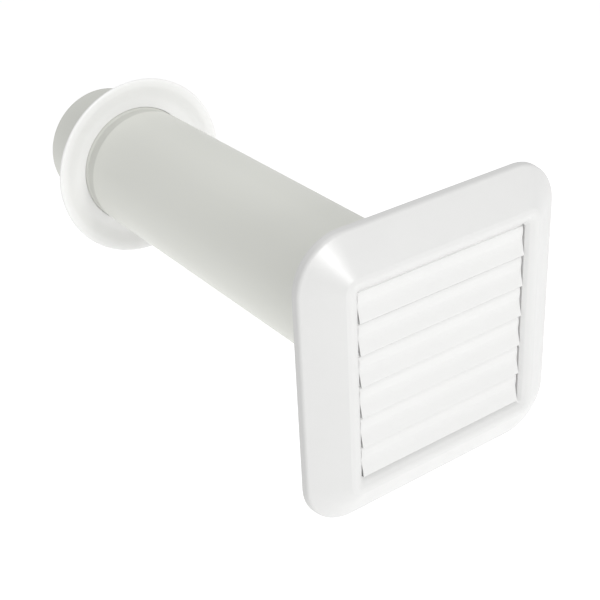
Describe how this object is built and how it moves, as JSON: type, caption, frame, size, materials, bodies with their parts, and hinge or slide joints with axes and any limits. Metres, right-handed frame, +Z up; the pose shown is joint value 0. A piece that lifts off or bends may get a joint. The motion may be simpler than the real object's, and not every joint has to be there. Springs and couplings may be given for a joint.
{
  "type": "through-the-wall ventilation kit",
  "caption": "Straight round wall duct with a square gravity-flap cowl outside and a round dished flange inside.",
  "frame": {"origin": "on the duct axis, in the plane of the outside wall face that the cowl rests on", "axes": "+Y into the wall along the duct axis, away from the flaps; +Z up, square to the flap pivots; +X to the right when facing the flaps"},
  "size_m": [0.2044, 0.4536, 0.2044],
  "materials": {
    "cowl_white": "moulded white, soft gloss",
    "flap_white": "moulded white, satin gloss",
    "plate_white": "moulded white, matt",
    "duct_grey": "extruded pale greenish grey, satin",
    "flange_white": "moulded white, soft gloss",
    "seal_rubber": "black moulded rubber",
    "gasket_foam": "grey closed-cell foam strip",
    "screw_steel": "bright zinc-plated steel"
  },
  "bodies": {
    "housing": {"cowl_frame": "cowl_white", "back_plate": "plate_white", "pivot_rail_left": "plate_white", "pivot_rail_right": "plate_white", "wall_pipe": "duct_grey", "spigot_seal": "seal_rubber", "weather_gasket": "gasket_foam", "plate_screw_1": "screw_steel", "plate_screw_2": "screw_steel", "plate_screw_3": "screw_steel", "plate_screw_4": "screw_steel"},
    "flap_1": {"flap_1": "flap_white"},
    "flap_2": {"flap_2": "flap_white"},
    "flap_3": {"flap_3": "flap_white"},
    "flap_4": {"flap_4": "flap_white"},
    "flap_5": {"flap_5": "flap_white"},
    "flap_6": {"flap_6": "flap_white"},
    "flange": {"wall_flange": "flange_white", "flange_seal": "seal_rubber"}
  },
  "joints": [
    {"name": "flap_1_hinge", "type": "hinge", "parent": "housing", "child": "flap_1", "pos_m": [0, -0.0127, 0.065], "axis": [-1, 0, 0], "range_deg": [0, 75]},
    {"name": "flap_2_hinge", "type": "hinge", "parent": "housing", "child": "flap_2", "pos_m": [0, -0.0127, 0.0431], "axis": [-1, 0, 0], "range_deg": [0, 75]},
    {"name": "flap_3_hinge", "type": "hinge", "parent": "housing", "child": "flap_3", "pos_m": [0, -0.0127, 0.0208], "axis": [-1, 0, 0], "range_deg": [0, 75]},
    {"name": "flap_4_hinge", "type": "hinge", "parent": "housing", "child": "flap_4", "pos_m": [0, -0.0127, -0.0015], "axis": [-1, 0, 0], "range_deg": [0, 75]},
    {"name": "flap_5_hinge", "type": "hinge", "parent": "housing", "child": "flap_5", "pos_m": [0, -0.0127, -0.0238], "axis": [-1, 0, 0], "range_deg": [0, 75]},
    {"name": "flap_6_hinge", "type": "hinge", "parent": "housing", "child": "flap_6", "pos_m": [0, -0.0127, -0.0461], "axis": [-1, 0, 0], "range_deg": [0, 75]},
    {"name": "flange_slide", "type": "slide", "parent": "housing", "child": "flange", "axis": [0, 1, 0], "range_m": [-0.3, 0.045]}
  ]
}
